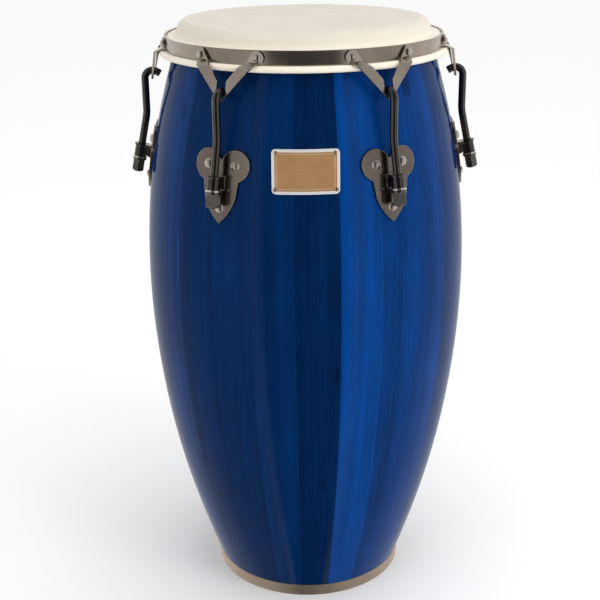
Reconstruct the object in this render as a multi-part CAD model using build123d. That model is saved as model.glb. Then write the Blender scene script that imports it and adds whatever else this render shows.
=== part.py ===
from build123d import *
import math
import os

# Conga drum: staved wooden shell, rawhide head, steel rim and six tuning lugs.
# Frame: millimetres, +Z up, origin on the floor under the drum's axis, the front faces -Y.
# Profiles are drawn as (radius, height). Hardware is drawn in a lug frame whose +X points
# outward along the lug's azimuth, and is then turned into place.

# ---------------------------------------------------------------- driving dimensions
HEIGHT = 762.0                 # floor to playing surface
STAVE_COUNT = 24
STAVE_TURN = 3.75              # azimuth of the first stave's middle, so no joint meets a bolt
WALL = 12.0                    # stave thickness
TOUCH_GAP = 0.1                # air between curved faces that rest on each other

# Outer surface of the shell: (height, radius) from the bottom ring to the bearing edge.
SHELL_STATIONS = [
    (15.8, 128.7), (90.0, 153.6), (180.0, 178.0), (290.0, 197.8),
    (420.0, 207.8), (540.0, 202.6), (640.0, 186.5), (700.0, 170.8), (751.3, 156.2),
]
BEARING_RADIUS = 11.6          # roundover of the bearing edge
BEARING_CENTRE = (145.0, 748.0)
INSIDE_LOW = 45.0              # the stave's inner face is parallel to the outer one between these
INSIDE_HIGH = 740.0
FOOT_SLOPE = 0.34              # inward slope of the inner face below that, down to the foot

RING_RADIUS = 128.8            # bottom ring, outside
RING_HEIGHT = 15.8
RING_STEEL = 2.4
RING_LIP = 10.8                # width of the lip turned in under the staves
RING_SCREW_COUNT = 6
RING_SCREW_AZIMUTH = 40.0      # azimuth of the first ring screw
RING_SCREW_LENGTH = 12.5

SKIN = 2.2                     # rawhide thickness
LEDGE_Z = 745.2                # top of the hide tucked inside the rim
HOOP_CENTRE = (177.7, 722.9)   # flesh hoop section centre
HOOP_ROD = 2.5                 # radius of the hoop's steel rod
ROLL_RADIUS = 4.3              # hide rolled round the hoop
SKIN_MEET_Z = 731.5            # where the hide leaves the shell for the hoop

RIM_INNER = 172.3
RIM_STEEL = 3.0
RIM_BOTTOM = 726.5
RIM_TOP = 743.6

LUG_AZIMUTHS = [-150.0, -90.0, -30.0, 30.0, 90.0, 150.0]
ROD_TILT = 12.0                # degrees the tuning rods lean inward at the top
ROD_RADIUS = 4.76              # 3/8 inch rod
SLEEVE_POINT = (212.5, 595.4)  # middle of the lug sleeve on the rod axis
SLEEVE_LENGTH = 16.2
SLEEVE_RADIUS = 7.8
SLEEVE_BORE = 5.5
COLLAR_RADIUS = 8.9            # bead round the sleeve's mouth
COLLAR_LENGTH = 2.6
BOSS_WIDTH = 12.0              # block that joins the sleeve to the back plate
BOSS_FOOT_Z = 582.0            # where the block's underside meets the plate
BROW_WIDTH = 14.4              # flange along the top of the block

PLATE_STEEL = 3.4
EAR_OFFSET = 18.3              # ear and bolt distance either side of the lug's centre line
EAR_Z = 612.8
EAR_RADIUS = 18.2
WAIST_Z = 597.8
WAIST_HALF = 24.0
FLANK_Z = 574.8
FLANK_HALF = 20.6
TIP_Z = 545.8
TIP_BOLT_Z = 562.8

HOOK_CENTRE = (192.6, 687.2)   # centre of the hook's bend
HOOK_BEND = 9.8
HOOK_WRAP = 120.0              # degrees of bend
HOOK_TAIL = 5.8
ROD_KNEE = 60.0                # radius of the bend from leaning rod to upright shank

WASHER_RADIUS = 9.0
WASHER_STEEL = 2.0
NUT_FLANGE_RADIUS = 8.8
NUT_FLANGE = 3.0
NUT_ACROSS_FLATS = 14.3
NUT_LENGTH = 18.6
NUT_BORE = ROD_RADIUS + 0.06

STRIP = 2.8                    # rim bracket strip thickness
STRIP_WIDTH = 12.5
RIVET_ANGLE = 12.5             # rivets stand this far either side of the lug
RIVET_Z = 735.2
TAB_RADIUS = 7.6
TAB_FOLD = 5.0                 # fold line below the rivet centre
RIVET_SHANK = 2.5
RIVET_HEAD = 4.7
V_TILT = 12.77                 # lean of the bracket's V plate
V_POINT = (193.4, 684.5)       # mid-thickness point at the bottom of the V
V_TOP_Z = 724.5
V_SLOPE = 0.905                # half width gained per height by the outer edges
NOTCH_HALF = 6.2
NOTCH_TOP_Z = 708.8
WEB_TOP_Z = 691.0

BOLT_RADIUS = 3.0
BOLT_HEAD = 6.0
BOLT_DOME = 3.6
BOLT_HOLE = 3.15
BOLT_NUT_FLATS = 10.0
BOLT_NUT = 5.0
BACKING_STEEL = 1.6

BADGE_WIDTH = 78.6
BADGE_HEIGHT = 50.6
BADGE_Z = 609.4
BADGE_STEEL = 1.1
BADGE_RAISE = 0.5
BADGE_BORDER = 3.4
BADGE_CORNER = 5.0
NAIL_INSET = 4.6
NAIL_SHANK = 0.9
NAIL_HEAD = 2.3
NAIL_LENGTH = 8.0


# ---------------------------------------------------------------- shell surface helpers
def profile_point(radius, height):
    return Vector(radius, 0, height)


SHELL_LINE = Spline(*[profile_point(radius, height) for height, radius in SHELL_STATIONS])


def shell_parameter(height):
    """Position along the shell's outer line, from 0 to 1, at a height."""
    low = 0.0
    high = 1.0
    for _ in range(40):
        middle = (low + high) / 2
        if SHELL_LINE.position_at(middle).Z < height:
            low = middle
        else:
            high = middle
    return (low + high) / 2


def shell_point(height, offset=0.0):
    """Point of the shell's outer line at a height, moved out along its normal."""
    parameter = shell_parameter(height)
    point = SHELL_LINE.position_at(parameter)
    tangent = SHELL_LINE.tangent_at(parameter)
    return point + Vector(tangent.Z, 0, -tangent.X) * offset


def shell_lean(height):
    """Angle in degrees by which the shell's outward normal points up at a height."""
    tangent = SHELL_LINE.tangent_at(shell_parameter(height))
    return math.degrees(math.atan2(-tangent.X, tangent.Z))


def offset_line(offset, low, high, pieces=8):
    """Line parallel to the shell's outer line between two heights."""
    heights = [low + (high - low) * i / pieces for i in range(pieces + 1)]
    return Spline(*[shell_point(height, offset) for height in heights])


def shell_band(inner, outer, low, high, half_angle):
    """Curved layer of the shell between two offsets, centred on +X."""
    inside = offset_line(inner, low, high)
    outside = offset_line(outer, low, high)
    bottom = Line(inside @ 0, outside @ 0)
    top = Line(inside @ 1, outside @ 1)
    layer = make_face([inside, top, outside, bottom])
    turned = revolve(layer, axis=Axis.Z, revolution_arc=2 * half_angle)
    return turned.rotate(Axis.Z, -half_angle)


def at_azimuth(shape, azimuth):
    """Turn a shape from the lug frame (+X outward) to an azimuth counted from the front."""
    return shape.rotate(Axis.Z, azimuth - 90)


def wall_plane(azimuth_offset, height, offset=0.0):
    """Plane on the shell at a small azimuth from +X, its normal along the shell's normal."""
    point = shell_point(height, offset)
    lean = math.radians(shell_lean(height))
    plane = Plane(origin=point, x_dir=(0, 1, 0), z_dir=(math.cos(lean), 0, math.sin(lean)))
    return turned_plane(plane, azimuth_offset)


def turned_plane(plane, angle):
    """Turn a plane about the drum's axis."""
    origin = plane.origin.rotate(Axis.Z, angle)
    x_dir = plane.x_dir.rotate(Axis.Z, angle)
    z_dir = plane.z_dir.rotate(Axis.Z, angle)
    return Plane(origin=origin, x_dir=x_dir, z_dir=z_dir)


def outward_prism(outline):
    """Prism of an outline drawn as (tangent, height), running out along +X."""
    face = Plane.YZ * outline
    return extrude(face.moved(Location((100, 0, 0))), amount=200)


def pin(plane, radius, low, high):
    """Round bar on a plane's normal between two distances from the plane."""
    return plane * Pos(0, 0, (low + high) / 2) * Cylinder(radius, high - low)


def dome(plane, radius, height, start):
    """Dome head standing on a plane's normal from a start distance."""
    ball = (radius ** 2 + height ** 2) / (2 * height)
    section = make_face([
        Line((0, 0), (radius, 0)),
        RadiusArc((radius, 0), (0, height), -ball),
        Line((0, height), (0, 0)),
    ])
    head = revolve(Plane.XZ * section, axis=Axis.Z)
    return plane * Pos(0, 0, start) * head


# ---------------------------------------------------------------- fastener places
EAR_ANGLE = math.degrees(math.asin(EAR_OFFSET / (shell_point(EAR_Z).X + PLATE_STEEL)))
BOLT_PLACES = [(-EAR_ANGLE, EAR_Z), (EAR_ANGLE, EAR_Z), (0.0, TIP_BOLT_Z)]
BOLT_PLANES = [wall_plane(angle, height) for angle, height in BOLT_PLACES]

NAIL_Y = BADGE_WIDTH / 2 - NAIL_INSET
NAIL_RISE = BADGE_HEIGHT / 2 - NAIL_INSET
NAIL_ANGLE = math.degrees(math.asin(NAIL_Y / shell_point(BADGE_Z).X))
NAIL_PLANES = [
    wall_plane(side * NAIL_ANGLE, BADGE_Z + rise)
    for side in (-1, 1)
    for rise in (-NAIL_RISE, NAIL_RISE)
]
RING_SCREW_PLANE = Plane(origin=(RING_RADIUS, 0, RING_HEIGHT / 2), x_dir=(0, 1, 0), z_dir=(1, 0, 0))


# ---------------------------------------------------------------- shell
def stave_cutters():
    """Holes that the lug bolts, badge nails and ring screws need in the staves."""
    cutters = []
    for azimuth in LUG_AZIMUTHS:
        for plane in BOLT_PLANES:
            cutters.append(at_azimuth(pin(plane, BOLT_HOLE, -WALL - 10, 10), azimuth))
    for plane in NAIL_PLANES:
        cutters.append(at_azimuth(pin(plane, NAIL_SHANK + 0.05, -NAIL_LENGTH, 4), 0))
    for index in range(RING_SCREW_COUNT):
        azimuth = RING_SCREW_AZIMUTH + index * 360 / RING_SCREW_COUNT
        cutters.append(at_azimuth(pin(RING_SCREW_PLANE, 1.3, -RING_SCREW_LENGTH - 0.5, 1), azimuth))
    return cutters


def make_staves():
    """One stave turned to each place, and drilled where hardware passes through it."""
    rebate = RING_RADIUS - RING_STEEL - TOUCH_GAP
    foot = RING_STEEL + TOUCH_GAP
    step = RING_HEIGHT + TOUCH_GAP
    outside = offset_line(0, step, SHELL_STATIONS[-1][0], pieces=12)
    inside = offset_line(-WALL, INSIDE_LOW, INSIDE_HIGH, pieces=12)
    centre = profile_point(*BEARING_CENTRE)
    crest = centre + profile_point(0, BEARING_RADIUS)
    outer_end = outside @ 1
    spread = math.radians(90 + shell_lean(SHELL_STATIONS[-1][0])) / 2
    middle = centre + profile_point(math.cos(spread), math.sin(spread)) * BEARING_RADIUS
    inner_top = inside @ 1
    inner_foot = profile_point((inside @ 0).X - (INSIDE_LOW - foot) * FOOT_SLOPE, foot)
    section = make_face([
        outside,
        ThreePointArc(outer_end, middle, crest),
        Line(crest, inner_top),
        inside,
        Line(inside @ 0, inner_foot),
        Line(inner_foot, profile_point(rebate, foot)),
        Line(profile_point(rebate, foot), profile_point(rebate, step)),
        Line(profile_point(rebate, step), outside @ 0),
    ])
    width = 360 / STAVE_COUNT
    blank = revolve(section, axis=Axis.Z, revolution_arc=width).rotate(Axis.Z, -width / 2)
    cutters = stave_cutters()
    staves = {}
    for index in range(STAVE_COUNT):
        stave = at_azimuth(blank, STAVE_TURN + index * width)
        box = stave.bounding_box()
        near = [cutter for cutter in cutters if boxes_meet(box, cutter.bounding_box())]
        for cutter in near:
            stave = stave - cutter
        staves[f"stave_{index + 1:02d}"] = stave
    return staves


def boxes_meet(one, other):
    gaps = (
        max(one.min.X, other.min.X) - min(one.max.X, other.max.X),
        max(one.min.Y, other.min.Y) - min(one.max.Y, other.max.Y),
        max(one.min.Z, other.min.Z) - min(one.max.Z, other.max.Z),
    )
    return max(gaps) < 0


def make_bottom_ring():
    """Steel ring round the foot of the shell, with a lip turned in under the staves."""
    inner = RING_RADIUS - RING_STEEL
    section = Plane.XZ * Polyline(
        (RING_RADIUS, 0), (RING_RADIUS, RING_HEIGHT), (inner, RING_HEIGHT),
        (inner, RING_STEEL), (RING_RADIUS - RING_LIP, RING_STEEL),
        (RING_RADIUS - RING_LIP, 0), close=True,
    )
    ring = revolve(make_face(section), axis=Axis.Z)
    rounded = ring.edges().filter_by(GeomType.CIRCLE).filter_by(
        lambda edge: edge.radius > RING_RADIUS - 0.1)
    ring = fillet(rounded, 0.8)
    for index in range(RING_SCREW_COUNT):
        azimuth = RING_SCREW_AZIMUTH + index * 360 / RING_SCREW_COUNT
        hole = pin(RING_SCREW_PLANE, 1.6, -RING_SCREW_LENGTH, 1)
        sink = RING_SCREW_PLANE * Pos(0, 0, -0.7) * Cone(1.6, 3.2, 1.6)
        ring = ring - at_azimuth(hole + sink, azimuth)
    return ring


def make_ring_screws():
    """Countersunk wood screws that hold the bottom ring."""
    shank = pin(RING_SCREW_PLANE, 1.25, -RING_SCREW_LENGTH, -1.4)
    head = RING_SCREW_PLANE * Pos(0, 0, -0.75) * Cone(1.4, 3.0, 1.5)
    slot = RING_SCREW_PLANE * Box(7, 0.7, 1.0)
    screw = shank + head - slot
    return [
        at_azimuth(screw, RING_SCREW_AZIMUTH + index * 360 / RING_SCREW_COUNT)
        for index in range(RING_SCREW_COUNT)
    ]


# ---------------------------------------------------------------- head and rim
def make_head_skin():
    """Rawhide head: flat playing face, side, ledge tucked in the rim, roll round the hoop."""
    lean = math.radians(shell_lean(SHELL_STATIONS[-1][0]))
    centre = profile_point(*BEARING_CENTRE)
    outer = HEIGHT - BEARING_CENTRE[1]
    inner = outer - SKIN
    spread = (math.pi / 2 + lean) / 2
    slope = profile_point(math.sin(lean), -math.cos(lean))
    side_top = centre + profile_point(math.cos(lean), math.sin(lean)) * outer
    side_foot = side_top + slope * ((side_top.Z - LEDGE_Z - 3.2) / math.cos(lean))
    ledge_start = profile_point(side_foot.X + 3.4, LEDGE_Z)
    bore = RIM_INNER - 0.4
    ledge_end = profile_point(bore - 1.0, LEDGE_Z - 0.7)
    seat = RIM_BOTTOM - 0.2
    hoop = profile_point(*HOOP_CENTRE)
    seat_drop = seat - HOOP_CENTRE[1]
    seat_end = profile_point(HOOP_CENTRE[0] - math.sqrt(ROLL_RADIUS ** 2 - seat_drop ** 2), seat)
    meet = shell_point(SKIN_MEET_Z, 0.35)
    reach = meet - hoop
    under = math.atan2(reach.Z, reach.X) + math.acos(ROLL_RADIUS / reach.length)
    roll_foot = hoop + profile_point(math.cos(under), math.sin(under)) * ROLL_RADIUS
    lip_top = centre + profile_point(math.cos(lean), math.sin(lean)) * inner
    section = make_face([
        Line(profile_point(0, HEIGHT), profile_point(BEARING_CENTRE[0], HEIGHT)),
        ThreePointArc(profile_point(BEARING_CENTRE[0], HEIGHT),
                      centre + profile_point(math.cos(spread), math.sin(spread)) * outer, side_top),
        Line(side_top, side_foot),
        TangentArc(side_foot, ledge_start, tangent=slope),
        Line(ledge_start, ledge_end),
        Line(ledge_end, profile_point(bore, LEDGE_Z - 2.0)),
        Line(profile_point(bore, LEDGE_Z - 2.0), profile_point(bore, seat)),
        Line(profile_point(bore, seat), seat_end),
        ThreePointArc(seat_end, hoop + profile_point(ROLL_RADIUS, 0), roll_foot),
        Line(roll_foot, meet),
        Line(meet, lip_top),
        ThreePointArc(lip_top, centre + profile_point(math.cos(spread), math.sin(spread)) * inner,
                      centre + profile_point(0, inner)),
        Line(centre + profile_point(0, inner), profile_point(0, HEIGHT - SKIN)),
        Line(profile_point(0, HEIGHT - SKIN), profile_point(0, HEIGHT)),
    ])
    head = revolve(section, axis=Axis.Z)
    return head - Pos(0, 0, HOOP_CENTRE[1]) * Torus(HOOP_CENTRE[0], HOOP_ROD + TOUCH_GAP)


def make_flesh_hoop():
    """Steel rod hoop that the hide is rolled round."""
    return Pos(0, 0, HOOP_CENTRE[1]) * Torus(HOOP_CENTRE[0], HOOP_ROD)


def rivet_planes():
    """Planes on the outside of the rim band, one per rivet, for a lug at +X."""
    base = Plane(origin=(RIM_INNER + RIM_STEEL, 0, RIVET_Z), x_dir=(0, 1, 0), z_dir=(1, 0, 0))
    return [turned_plane(base, side * RIVET_ANGLE) for side in (-1, 1)]


def make_rim_band():
    """Flat steel band that presses the hoop down, drilled for the bracket rivets."""
    section = Plane.XZ * Polyline(
        (RIM_INNER, RIM_BOTTOM), (RIM_INNER + RIM_STEEL, RIM_BOTTOM),
        (RIM_INNER + RIM_STEEL, RIM_TOP), (RIM_INNER, RIM_TOP), close=True,
    )
    band = fillet(revolve(make_face(section), axis=Axis.Z).edges().filter_by(GeomType.CIRCLE), 0.6)
    for azimuth in LUG_AZIMUTHS:
        for plane in rivet_planes():
            band = band - at_azimuth(pin(plane, RIVET_SHANK + 0.05, -10, 5), azimuth)
    return band


def make_rim_rivets():
    """Dome rivets through the bracket tabs and the rim band."""
    rivets = []
    for azimuth in LUG_AZIMUTHS:
        for plane in rivet_planes():
            shank = pin(plane, RIVET_SHANK, -RIM_STEEL + 0.1, STRIP + 0.3)
            head = dome(plane, RIVET_HEAD, 3.0, STRIP + 0.2)
            rivets.append(at_azimuth(shank + head, azimuth))
    return rivets


def v_plane():
    """Mid-plane of the bracket's V plate: x along the tangent, y up the plate."""
    lean = math.radians(V_TILT)
    return Plane(origin=profile_point(*V_POINT), x_dir=(0, 1, 0),
                 z_dir=(math.cos(lean), 0, math.sin(lean)))


def make_rim_bracket():
    """Bent steel strip: two riveted tabs, two legs and the notched V that the hook pulls on."""
    plane = v_plane()
    rise = math.cos(math.radians(V_TILT))
    top = (V_TOP_Z - V_POINT[1]) / rise
    notch_top = (NOTCH_TOP_Z - V_POINT[1]) / rise
    web_top = (WEB_TOP_Z - V_POINT[1]) / rise
    slope = V_SLOPE * rise
    across = STRIP_WIDTH * math.hypot(1, slope)
    outline = make_face(Polyline(
        (0, 0), (slope * top, top), (slope * top - across, top), (NOTCH_HALF, notch_top),
        (-NOTCH_HALF, notch_top), (across - slope * top, top), (-slope * top, top), close=True,
    ))
    seat = web_top + NOTCH_HALF
    notch = Pos(0, (seat + notch_top) / 2) * Rectangle(2 * NOTCH_HALF, notch_top - seat)
    outline = outline - notch - Pos(0, seat) * Circle(NOTCH_HALF)
    outline = fillet(outline.vertices().sort_by(Axis.Y)[0], 2.5)
    shoulders = [vertex for vertex in outline.vertices() if abs(vertex.Y - notch_top) < 0.01]
    outline = fillet(shoulders, 3.0)
    bracket = plane * extrude(outline, amount=STRIP / 2, both=True)

    for side, rivet_plane in zip((-1, 1), rivet_planes()):
        lower = strip_section(plane * Pos(side * (slope * top - across / 2), top, 0), across)
        tab_face = rivet_plane * Pos(0, 0, TOUCH_GAP + STRIP / 2)
        fold = (-side * V_SLOPE * TAB_FOLD, -TAB_FOLD)
        upper = strip_section(tab_face * Pos(*fold, 0), across)
        bend = loft([lower, upper], ruled=True)
        fold_line = Line((fold[0] - across / 2, fold[1]), (fold[0] + across / 2, fold[1]))
        tab = make_hull([*Circle(TAB_RADIUS).edges(), fold_line])
        tab = tab_face * extrude(tab, amount=STRIP / 2, both=True)
        below = tab_face * Pos(0, fold[1] - 10, 0) * Box(60, 20, 10)
        hole = pin(rivet_plane, RIVET_SHANK + 0.05, -5, 8)
        bracket = bracket + bend + (tab - below) - hole
    return bracket


def strip_section(location, width):
    """Level cross-section of the bracket strip, its width along x and its thickness along z."""
    half = width / 2
    thick = STRIP / 2
    corners = [(-half, 0, -thick), (half, 0, -thick), (half, 0, thick), (-half, 0, thick)]
    return location * make_face(Polyline(*corners, close=True))


# ---------------------------------------------------------------- lugs
def rod_plane(distance=0.0):
    """Plane across the rod axis, a distance along it from the sleeve's middle."""
    lean = math.radians(ROD_TILT)
    axis = Vector(-math.sin(lean), 0, math.cos(lean))
    return Plane(origin=profile_point(*SLEEVE_POINT) + axis * distance, x_dir=(0, 1, 0), z_dir=axis)


def side_plate_outline():
    """Outline of the lug's back plate: two ears over a body that ends in a point."""
    right = [(0, EAR_Z + 3), (WAIST_HALF - 3, EAR_Z), (WAIST_HALF, WAIST_Z), (FLANK_HALF, FLANK_Z)]
    flank_mid = (FLANK_HALF * 0.58, (FLANK_Z + TIP_Z) / 2 - 2.4)
    lines = [Line(right[i], right[i + 1]) for i in range(3)]
    lines.append(ThreePointArc(right[3], flank_mid, (0, TIP_Z)))
    mirrored = [mirror(line, about=Plane.YZ) for line in lines]
    body = make_face(lines + mirrored)
    outline = body + Pos(EAR_OFFSET, EAR_Z) * Circle(EAR_RADIUS)
    outline = outline + Pos(-EAR_OFFSET, EAR_Z) * Circle(EAR_RADIUS)
    cleft = Pos(0, EAR_Z + 3.5) * Rectangle(7, 7)
    return outline + cleft


def flat(point):
    """Drop a profile point into sketch coordinates (radius, height)."""
    return (point.X, point.Z)


def boss_reach(distance):
    """How far a line across the rod axis runs inward before it is well inside the back plate."""
    start = rod_plane(distance).origin
    lean = math.radians(ROD_TILT)
    fall = Vector(-math.cos(lean), 0, -math.sin(lean))
    reach = 0.0
    while (start + fall * reach).X > shell_point((start + fall * reach).Z, 1.6).X:
        reach += 0.1
    return reach


def make_side_plate():
    """Cast lug: curved back plate, flanged block and rod sleeve in one piece."""
    low = TIP_Z - 12
    high = EAR_Z + EAR_RADIUS + 12
    prism = outward_prism(side_plate_outline())
    plate = prism & shell_band(TOUCH_GAP, TOUCH_GAP + PLATE_STEEL, low, high, 16)
    half = SLEEVE_LENGTH / 2
    top = rod_plane(half).origin
    reach = boss_reach(half)
    under = rod_plane(half - COLLAR_LENGTH)
    brow = extrude(Plane.XZ * make_face(Polyline(
        flat(top), flat(rod_plane(half).from_local_coords((0, reach, 0))),
        flat(under.from_local_coords((0, reach, 0))), flat(under.origin), close=True,
    )), amount=BROW_WIDTH / 2, dir=(0, 1, 0), both=True)
    foot = rod_plane(2.2 - half)
    bottom = flat(foot.from_local_coords((0, SLEEVE_RADIUS - 0.5, 0)))
    plate_bottom = flat(shell_point(BOSS_FOOT_Z, 1.0))
    boss = extrude(Plane.XZ * make_face([
        Line(bottom, flat(foot.origin)),
        Line(flat(foot.origin), flat(under.origin)),
        Line(flat(under.origin), flat(under.from_local_coords((0, reach, 0)))),
        Line(flat(under.from_local_coords((0, reach, 0))), plate_bottom),
        RadiusArc(plate_bottom, bottom, 20),
    ]), amount=BOSS_WIDTH / 2, dir=(0, 1, 0), both=True)
    sleeve = pin(rod_plane(), SLEEVE_RADIUS, -half, half)
    collar = pin(rod_plane(), COLLAR_RADIUS, half - COLLAR_LENGTH, half)
    collar = fillet(collar.edges().filter_by(GeomType.CIRCLE), 0.8)
    lug = plate + boss + brow + sleeve + collar
    lug = lug - pin(rod_plane(), SLEEVE_BORE, -half - 1, half + 1)
    for plane in BOLT_PLANES:
        lug = lug - pin(plane, BOLT_HOLE, -2, 8)
    return lug


def make_tuning_hook():
    """Round rod: leaning threaded end, upright shank, bend over the bracket, cut tail."""
    lean = math.tan(math.radians(ROD_TILT))
    shank_radius = HOOK_CENTRE[0] + HOOK_BEND
    knee = profile_point(shank_radius, SLEEVE_POINT[1] + (SLEEVE_POINT[0] - shank_radius) / lean)
    foot = rod_plane(rod_end()).origin
    start = profile_point(shank_radius, HOOK_CENTRE[1])
    wrap = math.radians(HOOK_WRAP)
    centre = profile_point(*HOOK_CENTRE)
    crown = centre + profile_point(math.cos(wrap / 2), math.sin(wrap / 2)) * HOOK_BEND
    bend_end = centre + profile_point(math.cos(wrap), math.sin(wrap)) * HOOK_BEND
    tail = bend_end + profile_point(-math.sin(wrap), math.cos(wrap)) * HOOK_TAIL
    path = Wire([
        *FilletPolyline(foot, knee, start, radius=ROD_KNEE).edges(),
        ThreePointArc(start, crown, bend_end),
        Line(bend_end, tail),
    ])
    rod = sweep(rod_plane(rod_end()) * Circle(ROD_RADIUS), path=path)
    ends = [edge for edge in rod.edges().filter_by(GeomType.CIRCLE)
            if min((edge.arc_center - foot).length, (edge.arc_center - tail).length) < 0.5]
    return chamfer(ends, 0.6)


def nut_top():
    """Distance along the rod axis from the sleeve's middle to the top face of the nut."""
    return -SLEEVE_LENGTH / 2 - 3 * TOUCH_GAP - WASHER_STEEL


def rod_end():
    """Distance along the rod axis to the rod's lower end, just inside the nut."""
    return nut_top() - NUT_LENGTH + 0.8


def make_lug_washer():
    """Steel washer between the sleeve and the nut."""
    top = -SLEEVE_LENGTH / 2 - TOUCH_GAP
    disc = pin(rod_plane(), WASHER_RADIUS, top - WASHER_STEEL, top)
    return disc - pin(rod_plane(), ROD_RADIUS + 0.4, top - 5, top + 5)


def make_tuning_nut():
    """Flanged hexagon nut with a rounded lower end, bored through."""
    top = nut_top()
    corner = NUT_ACROSS_FLATS / math.sqrt(3)
    hexagon = rod_plane(top - NUT_LENGTH) * extrude(RegularPolygon(corner, 6), amount=NUT_LENGTH)
    round_section = make_face([
        Line((0, 0), (0, NUT_LENGTH)),
        Line((0, NUT_LENGTH), (corner + 1, NUT_LENGTH)),
        Line((corner + 1, NUT_LENGTH), (corner + 1, 5.0)),
        ThreePointArc((corner + 1, 5.0), (corner - 0.8, 1.6), (corner - 3.0, 0)),
        Line((corner - 3.0, 0), (0, 0)),
    ])
    envelope = revolve(Plane.XZ * round_section, axis=Axis.Z)
    body = hexagon & (rod_plane(top - NUT_LENGTH) * envelope)
    flange = pin(rod_plane(), NUT_FLANGE_RADIUS, top - NUT_FLANGE, top)
    flange = chamfer(flange.edges().filter_by(GeomType.CIRCLE).sort_by(Axis.Z)[0], 0.7)
    return body + flange - pin(rod_plane(), NUT_BORE, top - NUT_LENGTH - 1, top + 1)


def make_plate_bolts():
    """Dome-head bolts through each side plate, the stave and the backing plate."""
    seat = TOUCH_GAP + PLATE_STEEL + 0.05
    end = -WALL - BACKING_STEEL - BOLT_NUT - 3.0
    bolts = []
    for azimuth in LUG_AZIMUTHS:
        for plane in BOLT_PLANES:
            bolt = pin(plane, BOLT_RADIUS, end, seat + 0.2)
            bolt = bolt + dome(plane, BOLT_HEAD, BOLT_DOME, seat)
            bolts.append(at_azimuth(bolt, azimuth))
    return bolts


def make_bolt_nuts():
    """Hexagon nuts on the bolt ends inside the shell."""
    seat = -WALL - BACKING_STEEL - 5 * TOUCH_GAP
    nuts = []
    for azimuth in LUG_AZIMUTHS:
        for plane in BOLT_PLANES:
            corner = BOLT_NUT_FLATS / math.sqrt(3)
            nut = extrude(RegularPolygon(corner, 6), amount=BOLT_NUT)
            nut = plane * Pos(0, 0, seat - BOLT_NUT) * nut - pin(plane, BOLT_RADIUS + 0.05, -40, 0)
            nuts.append(at_azimuth(nut, azimuth))
    return nuts


def make_backing_plates():
    """Curved steel plates that spread the bolt load inside the shell."""
    outer = -WALL - 2 * TOUCH_GAP
    outline = make_hull([
        *(Pos(EAR_OFFSET, EAR_Z) * Circle(9)).edges(),
        *(Pos(-EAR_OFFSET, EAR_Z) * Circle(9)).edges(),
        *(Pos(0, TIP_BOLT_Z) * Circle(9)).edges(),
    ])
    low = TIP_Z - 20
    high = EAR_Z + 30
    plate = outward_prism(outline) & shell_band(outer - BACKING_STEEL, outer, low, high, 16)
    for plane in BOLT_PLANES:
        plate = plate - pin(plane, BOLT_HOLE, -WALL - 8, -WALL + 8)
    return [at_azimuth(plate, azimuth) for azimuth in LUG_AZIMUTHS]


# ---------------------------------------------------------------- badge
def make_name_plate():
    """Blank metal plate with a raised border, bent to the shell."""
    low = BADGE_Z - BADGE_HEIGHT / 2 - 8
    high = BADGE_Z + BADGE_HEIGHT / 2 + 8
    face = Pos(0, BADGE_Z) * RectangleRounded(BADGE_WIDTH, BADGE_HEIGHT, BADGE_CORNER)
    field = Pos(0, BADGE_Z) * RectangleRounded(
        BADGE_WIDTH - 2 * BADGE_BORDER, BADGE_HEIGHT - 2 * BADGE_BORDER, BADGE_CORNER - 2)
    foot = TOUCH_GAP
    sheet = outward_prism(face) & shell_band(foot, foot + BADGE_STEEL, low, high, 16)
    border = outward_prism(face - field)
    border = border & shell_band(foot + BADGE_STEEL / 2, foot + BADGE_STEEL + BADGE_RAISE, low, high, 16)
    plate = sheet + border
    for plane in NAIL_PLANES:
        plate = plate - pin(plane, NAIL_SHANK + 0.05, -2, 5)
    return at_azimuth(plate, 0)


def make_name_plate_nails():
    """Small dome-head nails in the plate's corners."""
    seat = TOUCH_GAP + BADGE_STEEL + BADGE_RAISE + 0.05
    nails = []
    for plane in NAIL_PLANES:
        nail = pin(plane, NAIL_SHANK, -NAIL_LENGTH + 0.2, seat + 0.1)
        nail = nail + dome(plane, NAIL_HEAD, 1.1, seat)
        nails.append(at_azimuth(nail, 0))
    return nails


# ---------------------------------------------------------------- assembly
def make_parts():
    parts = make_staves()
    parts["bottom_ring"] = make_bottom_ring()
    parts["ring_screws"] = Compound(make_ring_screws())
    parts["head_skin"] = make_head_skin()
    parts["flesh_hoop"] = make_flesh_hoop()
    parts["rim_band"] = make_rim_band()
    parts["rim_rivets"] = Compound(make_rim_rivets())
    parts["plate_bolts"] = Compound(make_plate_bolts())
    parts["bolt_nuts"] = Compound(make_bolt_nuts())
    parts["backing_plates"] = Compound(make_backing_plates())
    parts["name_plate"] = make_name_plate()
    parts["name_plate_nails"] = Compound(make_name_plate_nails())
    washer = make_lug_washer()
    parts["lug_washers"] = Compound([at_azimuth(washer, azimuth) for azimuth in LUG_AZIMUTHS])
    lug_parts = {
        "side_plate": make_side_plate(),
        "tuning_hook": make_tuning_hook(),
        "tuning_nut": make_tuning_nut(),
        "rim_bracket": make_rim_bracket(),
    }
    for name, shape in lug_parts.items():
        for number, azimuth in enumerate(LUG_AZIMUTHS, start=1):
            parts[f"{name}_{number}"] = at_azimuth(shape, azimuth)
    return parts


os.makedirs("parts", exist_ok=True)
for part_name, part_shape in make_parts().items():
    export_step(part_shape, f"parts/{part_name}.step")
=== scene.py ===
"""Conga drum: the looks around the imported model. Metres, +Z up, the front faces -Y."""
import math

import bpy
from mathutils import Euler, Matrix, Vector, noise


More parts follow.
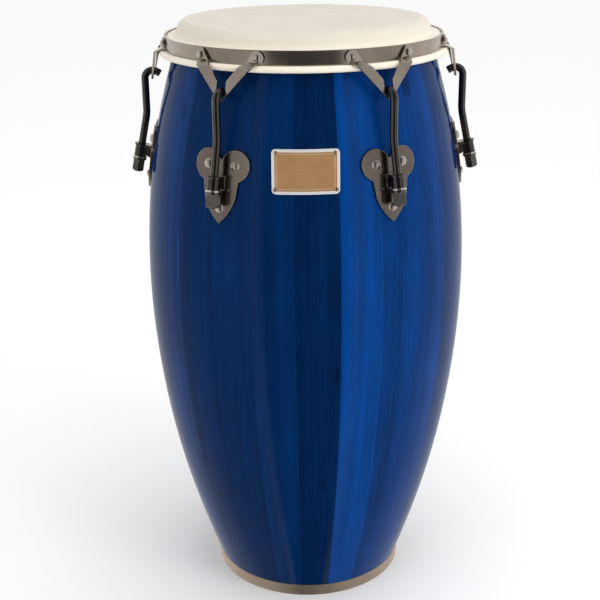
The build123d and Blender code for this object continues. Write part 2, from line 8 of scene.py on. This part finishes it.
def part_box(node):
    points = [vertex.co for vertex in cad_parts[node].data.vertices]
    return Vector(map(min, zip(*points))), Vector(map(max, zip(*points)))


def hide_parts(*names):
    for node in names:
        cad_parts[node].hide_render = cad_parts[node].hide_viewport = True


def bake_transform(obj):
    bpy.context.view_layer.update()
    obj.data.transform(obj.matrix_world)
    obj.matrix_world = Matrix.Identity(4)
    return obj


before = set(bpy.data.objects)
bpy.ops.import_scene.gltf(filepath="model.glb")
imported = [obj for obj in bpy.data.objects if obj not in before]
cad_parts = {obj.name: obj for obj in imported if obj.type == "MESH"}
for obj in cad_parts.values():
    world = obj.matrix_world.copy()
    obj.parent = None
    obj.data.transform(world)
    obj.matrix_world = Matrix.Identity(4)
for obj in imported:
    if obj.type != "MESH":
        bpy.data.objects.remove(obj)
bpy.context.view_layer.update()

# ---------------------------------------------------------------- sizes from the frame
SKIN_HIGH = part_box("head_skin")[1]
RIM_LOW, RIM_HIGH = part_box("rim_band")
HOOP_LOW, HOOP_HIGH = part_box("flesh_hoop")
PLATE_LOW, PLATE_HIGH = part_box("name_plate")
TOP_Z = SKIN_HIGH[2]
SKIN_RADIUS = SKIN_HIGH[0]
RIM_STEEL = 0.003
RIM_BORE = RIM_HIGH[0] - RIM_STEEL

STAVE_COUNT = 24
STAVE_ANGLE = 360 / STAVE_COUNT
STAVE_JOINT = 11.25            # azimuth of one joint between staves, degrees from the front
GRAIN_RADIUS = 0.2             # turns an azimuth into a length for the grain
DARK_STAVE = 23                # counted from the joint: the stave just left of it

FIRST_LUG = 30.0               # azimuth of one lug; there is one every 60 degrees
ROD_LEAN = math.radians(12.0)
ROD_POINT = (0.2125, 0.5954)   # (radius, height) of a point on a tuning rod's axis
SLEEVE_REACH = 0.0096          # the lug's sleeve and its bead lie within this distance of the axis
EDGE_ROUND = 0.0007


# ---------------------------------------------------------------- node helpers
class Nodes:
    """The node tree of a material or the world, with short calls for the nodes they share."""

    def __init__(self, owner, output, coordinate):
        owner.use_nodes = True
        self.owner = owner
        self.tree = owner.node_tree
        self.tree.nodes.clear()
        self.output = self.tree.nodes.new(output)
        self.place = self.tree.nodes.new("ShaderNodeTexCoord").outputs[coordinate]

    def feed(self, socket, value):
        if isinstance(value, bpy.types.NodeSocket):
            self.tree.links.new(value, socket)
        else:
            socket.default_value = value

    def math(self, operation, first, second=0.0, third=0.0, clamp=False):
        node = self.tree.nodes.new("ShaderNodeMath")
        node.operation = operation
        node.use_clamp = clamp
        for socket, value in zip(node.inputs, (first, second, third)):
            self.feed(socket, value)
        return node.outputs[0]

    def plus(self, first, second):
        return self.math("ADD", first, second)

    def minus(self, first, second, clamp=False):
        return self.math("SUBTRACT", first, second, clamp=clamp)

    def times(self, first, second):
        return self.math("MULTIPLY", first, second)

    def split(self, vector):
        node = self.tree.nodes.new("ShaderNodeSeparateXYZ")
        self.feed(node.inputs[0], vector)
        return node.outputs[0], node.outputs[1], node.outputs[2]

    def join(self, x, y, z):
        node = self.tree.nodes.new("ShaderNodeCombineXYZ")
        for socket, value in zip(node.inputs, (x, y, z)):
            self.feed(socket, value)
        return node.outputs[0]

    def noise(self, vector, scale, detail=3.0, roughness=0.5, distortion=0.0):
        node = self.tree.nodes.new("ShaderNodeTexNoise")
        self.feed(node.inputs["Vector"], vector)
        node.inputs["Scale"].default_value = scale
        node.inputs["Detail"].default_value = detail
        node.inputs["Roughness"].default_value = roughness
        node.inputs["Distortion"].default_value = distortion
        return node.outputs["Fac"]

    def random(self, value):
        node = self.tree.nodes.new("ShaderNodeTexWhiteNoise")
        node.noise_dimensions = "1D"
        self.feed(node.inputs["W"], value)
        return node.outputs["Value"]

    def ramp(self, value, low, high, out_low=0.0, out_high=1.0, smooth=False):
        node = self.tree.nodes.new("ShaderNodeMapRange")
        if smooth:
            node.interpolation_type = "SMOOTHSTEP"
        for name, number in (("Value", value), ("From Min", low), ("From Max", high),
                             ("To Min", out_low), ("To Max", out_high)):
            self.feed(node.inputs[name], number)
        return node.outputs[0]

    def mix(self, share, first, second, blend="MIX"):
        node = self.tree.nodes.new("ShaderNodeMix")
        node.data_type = "RGBA"
        node.blend_type = blend
        self.feed(node.inputs[0], share)
        self.feed(node.inputs[6], first)
        self.feed(node.inputs[7], second)
        return node.outputs[2]

    def bump(self, height, strength, distance, below=None):
        node = self.tree.nodes.new("ShaderNodeBump")
        node.inputs["Strength"].default_value = strength
        node.inputs["Distance"].default_value = distance
        self.feed(node.inputs["Height"], height)
        if below is not None:
            self.feed(node.inputs["Normal"], below)
        return node.outputs[0]

    def normal(self):
        return self.tree.nodes.new("ShaderNodeNewGeometry").outputs["Normal"]

    def rounded_normal(self, radius):
        """Normal as if the sharp edges were rounded off, and how much it differs from the flat one."""
        bevel = self.tree.nodes.new("ShaderNodeBevel")
        bevel.samples = 6
        bevel.inputs["Radius"].default_value = radius
        product = self.tree.nodes.new("ShaderNodeVectorMath")
        product.operation = "DOT_PRODUCT"
        self.feed(product.inputs[0], bevel.outputs[0])
        self.feed(product.inputs[1], self.normal())
        return bevel.outputs[0], self.ramp(product.outputs["Value"], 0.98, 0.80)

    def shader(self, **values):
        node = self.tree.nodes.new("ShaderNodeBsdfPrincipled")
        for name, value in values.items():
            self.feed(node.inputs[name.replace("_", " ")], value)
        self.tree.links.new(node.outputs[0], self.output.inputs["Surface"])
        return self.owner

    def cylinder(self):
        """(azimuth in degrees from 0 at the reference joint, radius, height) of a point."""
        x, y, z = self.split(self.place)
        turned = self.math("ARCTAN2", x, self.times(y, -1.0))
        degrees = self.times(turned, 180 / math.pi)
        wrapped = self.math("MODULO", self.plus(degrees, 720.0 - STAVE_JOINT), 360.0)
        radius = self.math("SQRT", self.plus(self.times(x, x), self.times(y, y)))
        return wrapped, radius, z


def material(name):
    return Nodes(bpy.data.materials.new(name), "ShaderNodeOutputMaterial", "Object")


def rgb(red, green, blue):
    return (red, green, blue, 1.0)


# ---------------------------------------------------------------- materials
def shell_wood():
    """Blue-stained staves under gloss lacquer outside, bare wood inside."""
    n = material("stained_staves")
    azimuth, radius, height = n.cylinder()
    index = n.math("FLOOR", n.math("DIVIDE", azimuth, STAVE_ANGLE))
    chance = n.random(n.plus(index, 3.7))
    second = n.random(n.plus(index, 41.3))
    across = n.times(azimuth, GRAIN_RADIUS * math.pi / 180)
    shift = n.times(chance, 9.0)

    warp = n.noise(n.join(n.times(across, 9.0), shift, n.times(height, 2.6)), 1.0, 2.0)
    bent = n.plus(across, n.times(warp, 0.016))
    broad = n.noise(n.join(n.times(bent, 60.0), shift, n.times(height, 1.3)), 1.0, 3.0, 0.55)
    fine = n.noise(n.join(n.times(bent, 420.0), shift, n.times(height, 6.0)), 1.0, 4.0, 0.65)
    pores = n.noise(n.join(n.times(bent, 1500.0), shift, n.times(height, 45.0)), 1.0, 2.0, 0.6)
    cloud = n.noise(n.join(n.times(across, 16.0), shift, n.times(height, 7.0)), 1.0, 4.0, 0.6)
    knots = n.noise(n.join(n.times(across, 22.0), second, n.times(height, 12.0)), 1.0, 2.0, 0.4)
    knot = n.ramp(knots, 0.70, 0.80, smooth=True)

    dark_one = n.math("COMPARE", index, float(DARK_STAVE), 0.5)
    bright_run = n.ramp(index, 0.0, 3.0, 0.34, 0.0)
    tone = n.plus(n.times(chance, 0.26), 0.34)
    tone = n.plus(tone, n.times(n.minus(broad, 0.5), 0.55))
    tone = n.plus(tone, n.times(n.minus(fine, 0.5), 0.42))
    tone = n.plus(tone, n.times(n.minus(cloud, 0.5), 0.50))
    tone = n.minus(tone, n.times(dark_one, 0.22))
    tone = n.plus(tone, bright_run)
    tone = n.minus(tone, n.times(knot, 0.30), clamp=True)
    stain = n.mix(n.ramp(tone, 0.0, 0.5), rgb(0.0006, 0.0075, 0.034), rgb(0.0006, 0.0205, 0.092))
    stain = n.mix(n.ramp(tone, 0.5, 1.0), stain, rgb(0.0010, 0.0500, 0.248))
    stain = n.mix(n.ramp(pores, 0.62, 0.72, 0.0, 0.35), stain, rgb(0.0008, 0.008, 0.036))

    place_in_stave = n.math("FRACT", n.math("DIVIDE", azimuth, STAVE_ANGLE))
    to_joint = n.math("MINIMUM", place_in_stave, n.minus(1.0, place_in_stave))
    joint = n.ramp(to_joint, 0.002, 0.007, 0.55, 0.0)
    stain = n.mix(joint, stain, rgb(0.0006, 0.006, 0.028))

    wood = n.mix(n.ramp(fine, 0.3, 0.7), rgb(0.42, 0.25, 0.13), rgb(0.60, 0.41, 0.24))
    wood = n.mix(n.ramp(broad, 0.3, 0.7, 0.0, 0.5), wood, rgb(0.50, 0.32, 0.18))
    x, y, _ = n.split(n.normal())
    px, py, _ = n.split(n.place)
    outward = n.plus(n.times(x, px), n.times(y, py))
    outside = n.ramp(n.math("DIVIDE", outward, radius), 0.20, 0.30)
    colour = n.mix(outside, wood, stain)

    grain = n.plus(n.times(fine, 0.6), n.times(pores, 0.4))
    rough = n.ramp(fine, 0.3, 0.7, 0.36, 0.50)
    bump = n.bump(n.minus(grain, n.times(joint, 0.9)), 0.10, 0.0006)
    wave = n.noise(n.join(n.times(across, 14.0), 0.0, n.times(height, 9.0)), 1.0, 1.5)
    lacquer = n.bump(wave, 0.05, 0.004)
    return n.shader(
        Base_Color=colour, Roughness=rough, Normal=bump, Specular_IOR_Level=0.0,
        Coat_Weight=0.5, Coat_Roughness=0.09, Coat_IOR=1.22, Coat_Normal=lacquer)


def rawhide():
    """Natural hide: pale playing face, faint veins and clouds, yellower where it is rolled."""
    n = material("natural_rawhide")
    azimuth, radius, height = n.cylinder()
    place = n.place
    cloud = n.noise(place, 14.0, 5.0, 0.6, 0.4)
    mottle = n.noise(place, 60.0, 4.0, 0.6)
    fibres = n.noise(place, 420.0, 3.0, 0.6, 0.8)
    pores = n.noise(place, 1500.0, 2.0, 0.5)
    edge = n.ramp(radius, 0.120, 0.162, smooth=True)
    low = n.ramp(height, TOP_Z - 0.018, TOP_Z - 0.004, 1.0, 0.0)
    colour = n.mix(n.ramp(cloud, 0.3, 0.7), rgb(0.605, 0.555, 0.475), rgb(0.685, 0.640, 0.565))
    colour = n.mix(n.ramp(mottle, 0.35, 0.7, 0.0, 0.35), colour, rgb(0.560, 0.500, 0.405))
    colour = n.mix(n.times(edge, 0.25), colour, rgb(0.720, 0.660, 0.560))
    colour = n.mix(n.times(low, 0.75), colour, rgb(0.850, 0.780, 0.660))
    rolled = n.ramp(height, HOOP_HIGH[2] + 0.003, HOOP_HIGH[2] - 0.001)
    along = n.noise(n.join(n.times(azimuth, 0.8), n.times(height, 60.0), 0.0), 1.0, 4.0, 0.6)
    colour = n.mix(n.times(rolled, n.ramp(along, 0.3, 0.75, 0.0, 0.30)), colour, rgb(0.78, 0.70, 0.55))
    rough = n.ramp(cloud, 0.3, 0.7, 0.44, 0.56)
    relief = n.plus(n.times(fibres, 0.7), n.times(pores, 0.3))
    normal = n.bump(relief, 0.12, 0.0006, n.bump(mottle, 0.10, 0.002))
    return n.shader(
        Base_Color=colour, Roughness=rough, Normal=normal, Specular_IOR_Level=0.4,
        Subsurface_Weight=0.12, Subsurface_Radius=(0.004, 0.0025, 0.0015), Subsurface_Scale=0.6)


def plated(name, light, dark, rough=0.28, brushed=0.0, edge=0.0, sleeve=None):
    """Plated steel: faintly cloudy tone and gloss, brush lines, painted highlights along the edges, dark
    sleeve.
    """
    n = material(name)
    azimuth, radius, height = n.cylinder()
    across = n.times(azimuth, GRAIN_RADIUS * math.pi / 180)
    cloud = n.noise(n.place, 30.0, 3.0, 0.5)
    specks = n.noise(n.place, 900.0, 3.0, 0.7)
    lines = n.join(n.times(across, 18.0), n.times(height, 2600.0), radius)
    brush = n.noise(lines, 1.0, 3.0, 0.65)
    colour = n.mix(n.ramp(cloud, 0.3, 0.7), rgb(*dark), rgb(*light))
    colour = n.mix(n.ramp(brush, 0.3, 0.7, 0.0, 0.5 * brushed), colour, rgb(*[c * 0.6 for c in dark]))
    clouded = n.ramp(cloud, 0.3, 0.7, rough * 0.8, rough * 1.2)
    roughness = n.plus(clouded, n.ramp(specks, 0.5, 0.8, 0.0, 0.08))
    roughness = n.plus(roughness, n.ramp(brush, 0.3, 0.7, 0.0, 0.12 * brushed))
    if sleeve:
        near = n.ramp(rod_distance(n, azimuth, radius, height), SLEEVE_REACH, SLEEVE_REACH - 0.0006)
        colour = n.mix(near, colour, rgb(*sleeve))
        roughness = n.times(roughness, n.ramp(near, 0.0, 1.0, 1.0, 0.6))
    relief = n.plus(n.times(brush, brushed), n.times(specks, 0.05))
    below = None
    if edge:
        below, painted_edge_highlight = n.rounded_normal(EDGE_ROUND)
        # Painted highlight: a pale colour laid along the rounded-off edges where they would catch the
        # light.
        colour = n.mix(n.times(painted_edge_highlight, edge), colour, rgb(0.86, 0.80, 0.72))
    normal = n.bump(relief, 0.04 + 0.12 * brushed, 0.0002, below)
    return n.shader(Base_Color=colour, Metallic=1.0, Roughness=roughness, Normal=normal)


def rod_distance(n, azimuth, radius, height):
    """Distance of a point from the nearest leaning tuning rod's axis."""
    from_lug = n.plus(azimuth, STAVE_JOINT - FIRST_LUG)
    turn = n.minus(n.math("MODULO", n.plus(from_lug, 390.0), 60.0), 30.0)
    turn = n.times(turn, math.pi / 180)
    aside = n.times(radius, n.math("SINE", turn))
    out = n.minus(n.times(radius, n.math("COSINE", turn)), ROD_POINT[0])
    up = n.minus(height, ROD_POINT[1])
    across = n.plus(n.times(out, math.cos(ROD_LEAN)), n.times(up, math.sin(ROD_LEAN)))
    return n.math("SQRT", n.plus(n.times(across, across), n.times(aside, aside)))


def badge_metal():
    """Blank plate: silver raised border round a brushed copper field."""
    n = material("blank_badge")
    x, y, z = n.split(n.place)
    middle = (PLATE_LOW[2] + PLATE_HIGH[2]) / 2
    half_width = PLATE_HIGH[0]
    half_height = (PLATE_HIGH[2] - PLATE_LOW[2]) / 2
    border = 0.0034
    round_off = 0.003
    from_side = n.minus(n.math("ABSOLUTE", x), half_width - border - round_off)
    from_end = n.minus(n.math("ABSOLUTE", n.minus(z, middle)), half_height - border - round_off)
    side = n.math("MAXIMUM", from_side, 0.0)
    end = n.math("MAXIMUM", from_end, 0.0)
    corner = n.math("SQRT", n.plus(n.times(side, side), n.times(end, end)))
    inner = n.math("MINIMUM", n.math("MAXIMUM", from_side, from_end), 0.0)
    distance = n.minus(n.plus(corner, inner), round_off)
    silver = n.ramp(distance, -0.0001, 0.0002)
    lines = n.join(n.times(x, 25.0), y, n.times(z, 3800.0))
    brush = n.noise(lines, 1.0, 3.0, 0.65)
    cloud = n.noise(n.place, 45.0, 3.0)
    field = n.mix(n.ramp(brush, 0.3, 0.7), rgb(0.42, 0.215, 0.085), rgb(0.58, 0.32, 0.14))
    field = n.mix(n.ramp(cloud, 0.35, 0.7, 0.0, 0.35), field, rgb(0.66, 0.40, 0.20))
    scored = n.ramp(n.math("ABSOLUTE", n.plus(distance, 0.0022)), 0.00012, 0.00030, 0.75, 0.0)
    field = n.mix(scored, field, rgb(0.85, 0.80, 0.72))
    colour = n.mix(silver, field, rgb(0.95, 0.94, 0.92))
    rough = n.ramp(silver, 0.0, 1.0, 0.38, 0.20)
    normal = n.bump(n.minus(brush, scored), 0.15, 0.0003)
    return n.shader(Base_Color=colour, Metallic=0.5, Roughness=rough, Normal=normal)


# ---------------------------------------------------------------- hide
def arc(centre, radius, start, end, steps):
    """Points of an arc in the (radius, height) plane, angles in degrees from outward."""
    points = []
    for i in range(steps + 1):
        angle = math.radians(start + (end - start) * i / steps)
        points.append((centre[0] + radius * math.cos(angle), centre[1] + radius * math.sin(angle)))
    return points


def hide_outline():
    """Outline of the hide in the (radius, height) plane, from the middle of the face round to it."""
    skin = 0.0022
    lean = 5.5
    crown_radius = 0.014
    crown = (0.145, TOP_Z - crown_radius)
    ledge = RIM_HIGH[2] - 0.0009
    roll = (SKIN_RADIUS - 0.0044, (HOOP_LOW[2] + HOOP_HIGH[2]) / 2)
    roll_radius = 0.0042
    bore = RIM_BORE - 0.0006
    face = [(r * 0.001, TOP_Z) for r in (4, 10, 20, 32, 46, 60, 76, 92, 106, 120, 130, 138)]
    side = arc(crown, crown_radius, 90, lean, 14)
    foot = side[-1]
    drop = [(foot[0] + 0.0008, foot[1] - 0.0032), (0.1607, ledge + 0.0012)]
    groove = (0.1616, ledge - 0.0002)
    rise = [(groove[0] + 0.0028, ledge + 0.0001), (groove[0] + 0.0060, ledge + 0.0003)]
    inside_rim = [
        (bore - 0.0006, ledge), (bore, ledge - 0.0012),
        (bore, RIM_LOW[2] + 0.004), (bore, RIM_LOW[2] - 0.0003),
    ]
    around = arc(roll, roll_radius, 62, -150, 20)
    back = [(0.1690, 0.7240), (0.1665, 0.7310), (0.1643, 0.7370), (0.1604, 0.7400), (0.1586, 0.7450)]
    inner = arc(crown, crown_radius - skin, lean, 90, 10)
    under = [(r * 0.001, TOP_Z - skin) for r in (130, 110, 80, 50, 20, 4)]
    return face + side + drop + [groove] + rise + inside_rim + around + back + inner + under


def make_hide():
    """Hide by turning its outline round the axis, with the small unevenness of a soaked skin."""
    outline = hide_outline()
    turns = 288
    vertices = []
    for step in range(turns):
        angle = 2 * math.pi * step / turns
        for radius, height in outline:
            place = Vector((math.cos(angle) * radius, math.sin(angle) * radius, height))
            slow = noise.noise(place * 22.0)
            quick = noise.noise(place * 110.0)
            rolled = height < RIM_LOW[2] and radius > RIM_BORE
            ledge = abs(height - RIM_HIGH[2]) < 0.0016 and radius > 0.161
            if rolled:
                change = -0.00035 + 0.00028 * slow + 0.00022 * quick
                place.xy = place.xy * (1 + change / radius)
                place.z += 0.0002 * quick
            elif ledge:
                place.z += 0.00045 * slow + 0.00025 * quick - 0.0003
            elif height > TOP_Z - 0.0005:
                place.z -= 0.00012 + 0.00010 * slow
            vertices.append(place)
    count = len(outline)
    middle_top = len(vertices)
    vertices.append(Vector((0, 0, TOP_Z - 0.0001)))
    vertices.append(Vector((0, 0, TOP_Z - 0.0023)))
    faces = []
    for step in range(turns):
        here = step * count
        there = (step + 1) % turns * count
        for i in range(count - 1):
            faces.append((here + i, here + i + 1, there + i + 1, there + i))
        faces.append((middle_top, here, there))
        faces.append((middle_top + 1, there + count - 1, here + count - 1))
    mesh = bpy.data.meshes.new("hide")
    mesh.from_pydata([tuple(v) for v in vertices], [], faces)
    mesh.polygons.foreach_set("use_smooth", [True] * len(mesh.polygons))
    hide = bpy.data.objects.new("hide", mesh)
    bpy.context.collection.objects.link(hide)
    mesh.materials.append(rawhide())
    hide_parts("head_skin")
    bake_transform(hide)
    return hide


# ---------------------------------------------------------------- finish of the CAD nodes
def dress_nodes():
    """Give every CAD node its material."""
    lug_sleeve = (0.075, 0.068, 0.062)
    # edge= sets how strongly a painted highlight is laid along each part's sharp edges.
    finishes = {
        "stave": shell_wood(),
        "bottom_ring": plated("warm_ring", (0.54, 0.43, 0.33), (0.42, 0.335, 0.26), 0.46, 0.6, edge=0.5),
        "ring_screws": plated("screw_plate", (0.45, 0.38, 0.32), (0.28, 0.24, 0.20), 0.3),
        "head_skin": rawhide(),
        "flesh_hoop": plated("plain_steel", (0.5, 0.5, 0.5), (0.38, 0.38, 0.38), 0.35),
        "rim_band": plated("brushed_rim", (0.40, 0.335, 0.28), (0.31, 0.255, 0.21), 0.20, 0.45, edge=0.5),
        "rim_bracket": plated("pewter_plate", (0.46, 0.39, 0.33), (0.36, 0.305, 0.26), 0.22, edge=0.9),
        "rim_rivets": plated("bright_rivet", (0.62, 0.56, 0.50), (0.50, 0.45, 0.40), 0.16),
        "plate_bolts": plated("bright_bolt", (0.62, 0.55, 0.48), (0.50, 0.445, 0.39), 0.30),
        "bolt_nuts": plated("zinc_nut", (0.62, 0.62, 0.60), (0.48, 0.48, 0.46), 0.3),
        "backing_plates": plated("zinc_sheet", (0.60, 0.60, 0.58), (0.46, 0.46, 0.44), 0.36, 0.3),
        "name_plate": badge_metal(),
        "name_plate_nails": plated("brass_nail", (0.62, 0.48, 0.30), (0.42, 0.32, 0.20), 0.25),
        "lug_washers": plated("washer_plate", (0.72, 0.68, 0.63), (0.55, 0.52, 0.48), 0.18),
        "side_plate": plated(
            "lug_pewter", (0.24, 0.20, 0.165), (0.185, 0.155, 0.13), 0.20, edge=0.9, sleeve=lug_sleeve),
        "tuning_hook": plated("black_nickel", (0.11, 0.10, 0.093), (0.08, 0.075, 0.07), 0.12, edge=0.4),
        "tuning_nut": plated("nickel_nut", (0.15, 0.138, 0.128), (0.10, 0.093, 0.087), 0.13, edge=0.6),
    }
    for name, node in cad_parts.items():
        finish = finishes[max((key for key in finishes if name.startswith(key)), key=len)]
        for material_slot in node.material_slots:
            material_slot.material = finish


# ---------------------------------------------------------------- studio
def make_floor():
    """Wide pale floor, left out of the reflections."""
    mesh = bpy.data.meshes.new("studio_floor")
    size = 30.0
    corners = [(-size, -size, 0), (size, -size, 0), (size, size, 0), (-size, size, 0)]
    mesh.from_pydata(corners, [], [(0, 1, 2, 3)])
    floor = bpy.data.objects.new("studio_floor", mesh)
    floor.location.z = -0.0002
    floor.visible_glossy = False
    bpy.context.collection.objects.link(floor)
    n = material("pale_floor")
    pale = rgb(0.96, 0.96, 0.96)
    mesh.materials.append(n.shader(Base_Color=pale, Roughness=0.9, Specular_IOR_Level=0.1))


def make_world():
    """White surroundings to the eye, even soft light from all round that is stronger from the right.

    Polished surfaces see a dim front with a brighter strip on either side and a bright back.
    """
    world = bpy.data.worlds.new("studio")
    bpy.context.scene.world = world
    n = Nodes(world, "ShaderNodeOutputWorld", "Generated")
    # Sampled as a lamp, it would show polished surfaces the light that is meant for the rest.
    world.cycles.sampling_method = "NONE"
    x, y, z = n.split(n.place)
    angle = n.times(n.math("ARCTAN2", n.math("ABSOLUTE", x), n.times(y, -1.0)), 180 / math.pi)
    side = n.ramp(angle, 28.0, 36.0, 0.10, 0.62, smooth=True)
    strip = n.minus(n.ramp(angle, 30.0, 34.0, smooth=True), n.ramp(angle, 36.0, 44.0, smooth=True))
    back = n.ramp(angle, 75.0, 120.0, 0.0, 0.45, smooth=True)
    shine = n.plus(n.plus(side, back), n.times(strip, 0.55))
    shine = n.times(shine, n.ramp(z, 0.15, 0.75, 1.0, 0.65))
    glow = n.ramp(x, -1.0, 1.0, 0.72, 1.28)
    path = n.tree.nodes.new("ShaderNodeLightPath")
    light = n.mix(path.outputs["Is Glossy Ray"], glow, shine)
    light = n.mix(path.outputs["Is Camera Ray"], light, rgb(1, 1, 1))
    background = n.tree.nodes.new("ShaderNodeBackground")
    n.tree.links.new(light, background.inputs["Color"])
    n.tree.links.new(background.outputs[0], n.output.inputs["Surface"])


def soft_light(name, place, target, width, height, energy):
    light = bpy.data.lights.new(name, "AREA")
    light.shape = "RECTANGLE"
    light.size = width
    light.size_y = height
    light.energy = energy
    lamp = bpy.data.objects.new(name, light)
    lamp.location = place
    direction = Vector(target) - Vector(place)
    lamp.rotation_euler = direction.to_track_quat("-Z", "Y").to_euler()
    lamp.visible_glossy = False
    bpy.context.collection.objects.link(lamp)


def make_lights():
    middle = (0, 0, 0.45)
    soft_light("right_box", (1.75, -1.55, 1.35), middle, 0.9, 1.6, 14)
    soft_light("left_box", (-1.7, -1.6, 1.2), middle, 0.8, 1.6, 4)
    soft_light("top_box", (0.2, -0.3, 2.4), (0, 0, 0.7), 1.6, 1.4, 5)


def make_camera():
    camera = bpy.data.cameras.new("camera")
    camera.sensor_width = 36.0
    camera.lens = 70.08
    eye = bpy.data.objects.new("camera", camera)
    eye.location = (-0.0083, -1.496, 0.928)
    look_down = math.radians(19.99)
    roll = math.radians(-0.67)
    turn = Euler((math.pi / 2 - look_down, 0, 0)).to_matrix() @ Euler((0, 0, roll)).to_matrix()
    eye.rotation_euler = turn.to_euler()
    bpy.context.collection.objects.link(eye)
    bpy.context.scene.camera = eye


# ---------------------------------------------------------------- making
dress_nodes()
make_hide()
make_floor()
make_world()
make_lights()
make_camera()
bpy.context.scene.view_settings.view_transform = "Standard"
